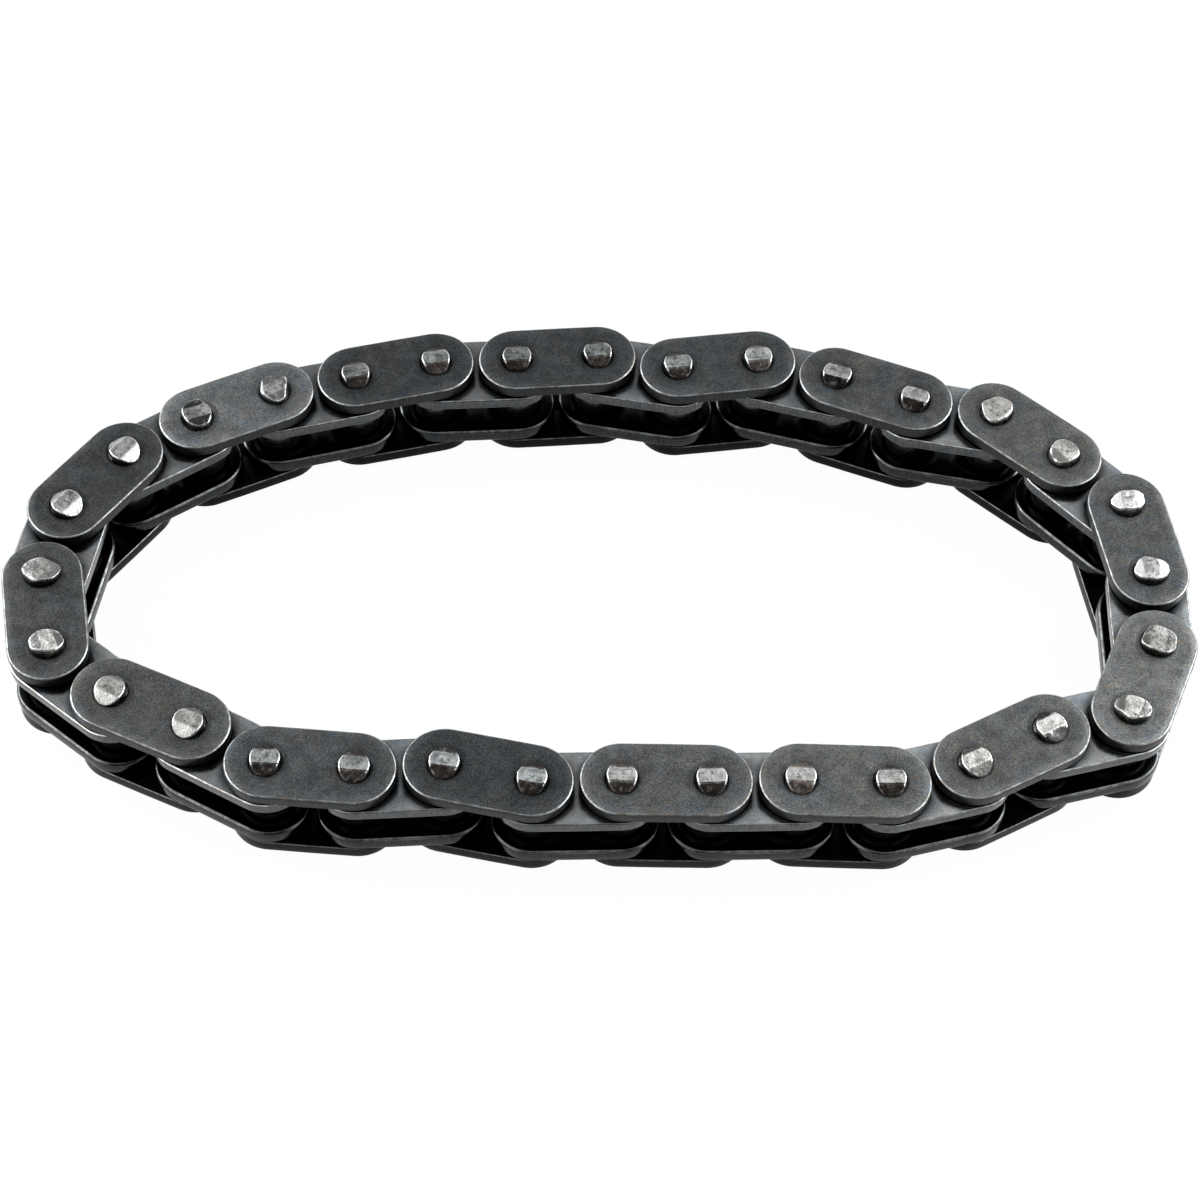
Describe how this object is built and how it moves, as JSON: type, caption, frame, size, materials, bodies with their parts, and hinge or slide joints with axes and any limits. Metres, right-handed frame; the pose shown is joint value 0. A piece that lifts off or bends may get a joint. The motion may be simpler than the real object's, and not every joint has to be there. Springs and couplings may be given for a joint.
{
  "type": "cam chain",
  "caption": "Endless rollerless bush chain for a camshaft drive, with plates, staked pins and bushes as separate pieces, lying on its side in a loose oval.",
  "frame": {"origin": "centre of the box of the loop, at the pins' lower ends, on which the chain lies", "axes": "+X along the long way of the loop, +Z along the pins, upwards"},
  "size_m": [0.1326, 0.0676, 0.0136],
  "materials": {
    "outer_plate_steel": "dark blued steel, finely grained, with bright rubbed edges",
    "inner_plate_steel": "tumbled grey steel with a faint blue cast and worn rims",
    "pin_steel": "hardened steel, bright and rough where the ends are staked"
  },
  "bodies": {
    "outer_link_01": {"outer_plates_01": "outer_plate_steel", "pins_01": "pin_steel"},
    "inner_link_01": {"inner_link_01": "inner_plate_steel"},
    "outer_link_02": {"outer_plates_02": "outer_plate_steel", "pins_02": "pin_steel"},
    "inner_link_02": {"inner_link_02": "inner_plate_steel"},
    "outer_link_03": {"outer_plates_03": "outer_plate_steel", "pins_03": "pin_steel"},
    "inner_link_03": {"inner_link_03": "inner_plate_steel"},
    "outer_link_04": {"outer_plates_04": "outer_plate_steel", "pins_04": "pin_steel"},
    "inner_link_04": {"inner_link_04": "inner_plate_steel"},
    "outer_link_05": {"outer_plates_05": "outer_plate_steel", "pins_05": "pin_steel"},
    "inner_link_05": {"inner_link_05": "inner_plate_steel"},
    "outer_link_06": {"outer_plates_06": "outer_plate_steel", "pins_06": "pin_steel"},
    "inner_link_06": {"inner_link_06": "inner_plate_steel"},
    "outer_link_07": {"outer_plates_07": "outer_plate_steel", "pins_07": "pin_steel"},
    "inner_link_07": {"inner_link_07": "inner_plate_steel"},
    "outer_link_08": {"outer_plates_08": "outer_plate_steel", "pins_08": "pin_steel"},
    "inner_link_08": {"inner_link_08": "inner_plate_steel"},
    "outer_link_09": {"outer_plates_09": "outer_plate_steel", "pins_09": "pin_steel"},
    "inner_link_09": {"inner_link_09": "inner_plate_steel"},
    "outer_link_10": {"outer_plates_10": "outer_plate_steel", "pins_10": "pin_steel"},
    "inner_link_10": {"inner_link_10": "inner_plate_steel"},
    "outer_link_11": {"outer_plates_11": "outer_plate_steel", "pins_11": "pin_steel"},
    "inner_link_11": {"inner_link_11": "inner_plate_steel"},
    "outer_link_12": {"outer_plates_12": "outer_plate_steel", "pins_12": "pin_steel"},
    "inner_link_12": {"inner_link_12": "inner_plate_steel"},
    "outer_link_13": {"outer_plates_13": "outer_plate_steel", "pins_13": "pin_steel"},
    "inner_link_13": {"inner_link_13": "inner_plate_steel"},
    "outer_link_14": {"outer_plates_14": "outer_plate_steel", "pins_14": "pin_steel"},
    "inner_link_14": {"inner_link_14": "inner_plate_steel"},
    "outer_link_15": {"outer_plates_15": "outer_plate_steel", "pins_15": "pin_steel"},
    "inner_link_15": {"inner_link_15": "inner_plate_steel"},
    "outer_link_16": {"outer_plates_16": "outer_plate_steel", "pins_16": "pin_steel"},
    "inner_link_16": {"inner_link_16": "inner_plate_steel"}
  },
  "joints": [
    {"name": "inner_link_01_pivot", "type": "hinge", "parent": "outer_link_01", "child": "inner_link_01", "pos_m": [-0.06172, -0.00581, 0.00682], "axis": [0, 0, 1], "range_deg": [-30, 30]},
    {"name": "outer_link_02_pivot", "type": "hinge", "parent": "inner_link_01", "child": "outer_link_02", "pos_m": [-0.06035, 0.00361, 0.00682], "axis": [0, 0, 1], "range_deg": [-30, 30]},
    {"name": "inner_link_02_pivot", "type": "hinge", "parent": "outer_link_02", "child": "inner_link_02", "pos_m": [-0.0549, 0.01142, 0.00682], "axis": [0, 0, 1], "range_deg": [-30, 30]},
    {"name": "outer_link_03_pivot", "type": "hinge", "parent": "inner_link_02", "child": "outer_link_03", "pos_m": [-0.04714, 0.01695, 0.00682], "axis": [0, 0, 1], "range_deg": [-30, 30]},
    {"name": "inner_link_03_pivot", "type": "hinge", "parent": "outer_link_03", "child": "inner_link_03", "pos_m": [-0.03865, 0.02128, 0.00682], "axis": [0, 0, 1], "range_deg": [-30, 30]},
    {"name": "outer_link_04_pivot", "type": "hinge", "parent": "inner_link_03", "child": "outer_link_04", "pos_m": [-0.02954, 0.02406, 0.00682], "axis": [0, 0, 1], "range_deg": [-30, 30]},
    {"name": "inner_link_04_pivot", "type": "hinge", "parent": "outer_link_04", "child": "inner_link_04", "pos_m": [-0.02039, 0.02669, 0.00682], "axis": [0, 0, 1], "range_deg": [-30, 30]},
    {"name": "outer_link_05_pivot", "type": "hinge", "parent": "inner_link_04", "child": "outer_link_05", "pos_m": [-0.01091, 0.02768, 0.00682], "axis": [0, 0, 1], "range_deg": [-30, 30]},
    {"name": "inner_link_05_pivot", "type": "hinge", "parent": "outer_link_05", "child": "inner_link_05", "pos_m": [-0.00146, 0.02884, 0.00682], "axis": [0, 0, 1], "range_deg": [-30, 30]},
    {"name": "outer_link_06_pivot", "type": "hinge", "parent": "inner_link_05", "child": "outer_link_06", "pos_m": [0.00799, 0.02764, 0.00682], "axis": [0, 0, 1], "range_deg": [-30, 30]},
    {"name": "inner_link_06_pivot", "type": "hinge", "parent": "outer_link_06", "child": "inner_link_06", "pos_m": [0.01737, 0.02929, 0.00682], "axis": [0, 0, 1], "range_deg": [-30, 30]},
    {"name": "outer_link_07_pivot", "type": "hinge", "parent": "inner_link_06", "child": "outer_link_07", "pos_m": [0.02669, 0.02731, 0.00682], "axis": [0, 0, 1], "range_deg": [-30, 30]},
    {"name": "inner_link_07_pivot", "type": "hinge", "parent": "outer_link_07", "child": "inner_link_07", "pos_m": [0.03574, 0.02437, 0.00682], "axis": [0, 0, 1], "range_deg": [-30, 30]},
    {"name": "outer_link_08_pivot", "type": "hinge", "parent": "inner_link_07", "child": "outer_link_08", "pos_m": [0.04518, 0.02304, 0.00682], "axis": [0, 0, 1], "range_deg": [-30, 30]},
    {"name": "inner_link_08_pivot", "type": "hinge", "parent": "outer_link_08", "child": "inner_link_08", "pos_m": [0.05268, 0.01718, 0.00682], "axis": [0, 0, 1], "range_deg": [-30, 30]},
    {"name": "outer_link_09_pivot", "type": "hinge", "parent": "inner_link_08", "child": "outer_link_09", "pos_m": [0.05957, 0.0106, 0.00682], "axis": [0, 0, 1], "range_deg": [-30, 30]},
    {"name": "inner_link_16_pivot", "type": "hinge", "parent": "outer_link_01", "child": "inner_link_16", "pos_m": [-0.05971, -0.01512, 0.00682], "axis": [0, 0, 1], "range_deg": [-30, 30]},
    {"name": "outer_link_16_pivot", "type": "hinge", "parent": "inner_link_16", "child": "outer_link_16", "pos_m": [-0.052, -0.02072, 0.00682], "axis": [0, 0, 1], "range_deg": [-30, 30]},
    {"name": "inner_link_15_pivot", "type": "hinge", "parent": "outer_link_16", "child": "inner_link_15", "pos_m": [-0.04317, -0.02429, 0.00682], "axis": [0, 0, 1], "range_deg": [-30, 30]},
    {"name": "outer_link_15_pivot", "type": "hinge", "parent": "inner_link_15", "child": "outer_link_15", "pos_m": [-0.03461, -0.02847, 0.00682], "axis": [0, 0, 1], "range_deg": [-30, 30]},
    {"name": "inner_link_14_pivot", "type": "hinge", "parent": "outer_link_15", "child": "inner_link_14", "pos_m": [-0.02509, -0.0288, 0.00682], "axis": [0, 0, 1], "range_deg": [-30, 30]},
    {"name": "outer_link_14_pivot", "type": "hinge", "parent": "inner_link_14", "child": "outer_link_14", "pos_m": [-0.01562, -0.0278, 0.00682], "axis": [0, 0, 1], "range_deg": [-30, 30]},
    {"name": "inner_link_13_pivot", "type": "hinge", "parent": "outer_link_14", "child": "inner_link_13", "pos_m": [-0.00621, -0.02929, 0.00682], "axis": [0, 0, 1], "range_deg": [-30, 30]},
    {"name": "outer_link_13_pivot", "type": "hinge", "parent": "inner_link_13", "child": "outer_link_13", "pos_m": [0.00329, -0.02863, 0.00682], "axis": [0, 0, 1], "range_deg": [-30, 30]},
    {"name": "inner_link_12_pivot", "type": "hinge", "parent": "outer_link_13", "child": "inner_link_12", "pos_m": [0.01281, -0.0283, 0.00682], "axis": [0, 0, 1], "range_deg": [-30, 30]},
    {"name": "outer_link_12_pivot", "type": "hinge", "parent": "inner_link_12", "child": "outer_link_12", "pos_m": [0.02231, -0.02763, 0.00682], "axis": [0, 0, 1], "range_deg": [-30, 30]},
    {"name": "inner_link_11_pivot", "type": "hinge", "parent": "outer_link_12", "child": "inner_link_11", "pos_m": [0.03184, -0.02746, 0.00682], "axis": [0, 0, 1], "range_deg": [-30, 30]},
    {"name": "outer_link_11_pivot", "type": "hinge", "parent": "inner_link_11", "child": "outer_link_11", "pos_m": [0.04095, -0.02468, 0.00682], "axis": [0, 0, 1], "range_deg": [-30, 30]},
    {"name": "inner_link_10_pivot", "type": "hinge", "parent": "outer_link_11", "child": "inner_link_10", "pos_m": [0.04919, -0.01992, 0.00682], "axis": [0, 0, 1], "range_deg": [-30, 30]},
    {"name": "outer_link_10_pivot", "type": "hinge", "parent": "inner_link_10", "child": "outer_link_10", "pos_m": [0.0583, -0.01713, 0.00682], "axis": [0, 0, 1], "range_deg": [-30, 30]},
    {"name": "inner_link_09_pivot", "type": "hinge", "parent": "outer_link_10", "child": "inner_link_09", "pos_m": [0.06172, -0.00824, 0.00682], "axis": [0, 0, 1], "range_deg": [-30, 30]}
  ],
  "couplings": [
    {"joint": "outer_link_02_pivot", "follows": "inner_link_01_pivot", "ratio": -1},
    {"joint": "inner_link_02_pivot", "follows": "inner_link_01_pivot", "ratio": 1},
    {"joint": "outer_link_03_pivot", "follows": "inner_link_01_pivot", "ratio": -1},
    {"joint": "outer_link_04_pivot", "follows": "inner_link_03_pivot", "ratio": -1},
    {"joint": "inner_link_04_pivot", "follows": "inner_link_03_pivot", "ratio": 1},
    {"joint": "outer_link_05_pivot", "follows": "inner_link_03_pivot", "ratio": -1},
    {"joint": "inner_link_05_pivot", "follows": "inner_link_16_pivot", "ratio": 1},
    {"joint": "outer_link_06_pivot", "follows": "inner_link_16_pivot", "ratio": -1},
    {"joint": "inner_link_06_pivot", "follows": "inner_link_01_pivot", "ratio": 1},
    {"joint": "outer_link_07_pivot", "follows": "inner_link_01_pivot", "ratio": -1},
    {"joint": "inner_link_07_pivot", "follows": "inner_link_16_pivot", "ratio": 1},
    {"joint": "outer_link_08_pivot", "follows": "inner_link_16_pivot", "ratio": -1},
    {"joint": "inner_link_08_pivot", "follows": "inner_link_16_pivot", "ratio": 1},
    {"joint": "outer_link_09_pivot", "follows": "inner_link_16_pivot", "ratio": -1},
    {"joint": "outer_link_16_pivot", "follows": "inner_link_16_pivot", "ratio": -1},
    {"joint": "inner_link_15_pivot", "follows": "inner_link_16_pivot", "ratio": 1},
    {"joint": "outer_link_15_pivot", "follows": "inner_link_16_pivot", "ratio": -1},
    {"joint": "inner_link_14_pivot", "follows": "inner_link_03_pivot", "ratio": 1},
    {"joint": "outer_link_14_pivot", "follows": "inner_link_03_pivot", "ratio": -1},
    {"joint": "inner_link_13_pivot", "follows": "inner_link_01_pivot", "ratio": 1},
    {"joint": "outer_link_13_pivot", "follows": "inner_link_01_pivot", "ratio": -1},
    {"joint": "inner_link_12_pivot", "follows": "inner_link_16_pivot", "ratio": 1},
    {"joint": "outer_link_12_pivot", "follows": "inner_link_16_pivot", "ratio": -1},
    {"joint": "inner_link_11_pivot", "follows": "inner_link_01_pivot", "ratio": 1},
    {"joint": "outer_link_11_pivot", "follows": "inner_link_01_pivot", "ratio": -1},
    {"joint": "inner_link_10_pivot", "follows": "inner_link_03_pivot", "ratio": 1},
    {"joint": "outer_link_10_pivot", "follows": "inner_link_03_pivot", "ratio": -1},
    {"joint": "inner_link_09_pivot", "follows": "inner_link_01_pivot", "ratio": 1}
  ]
}
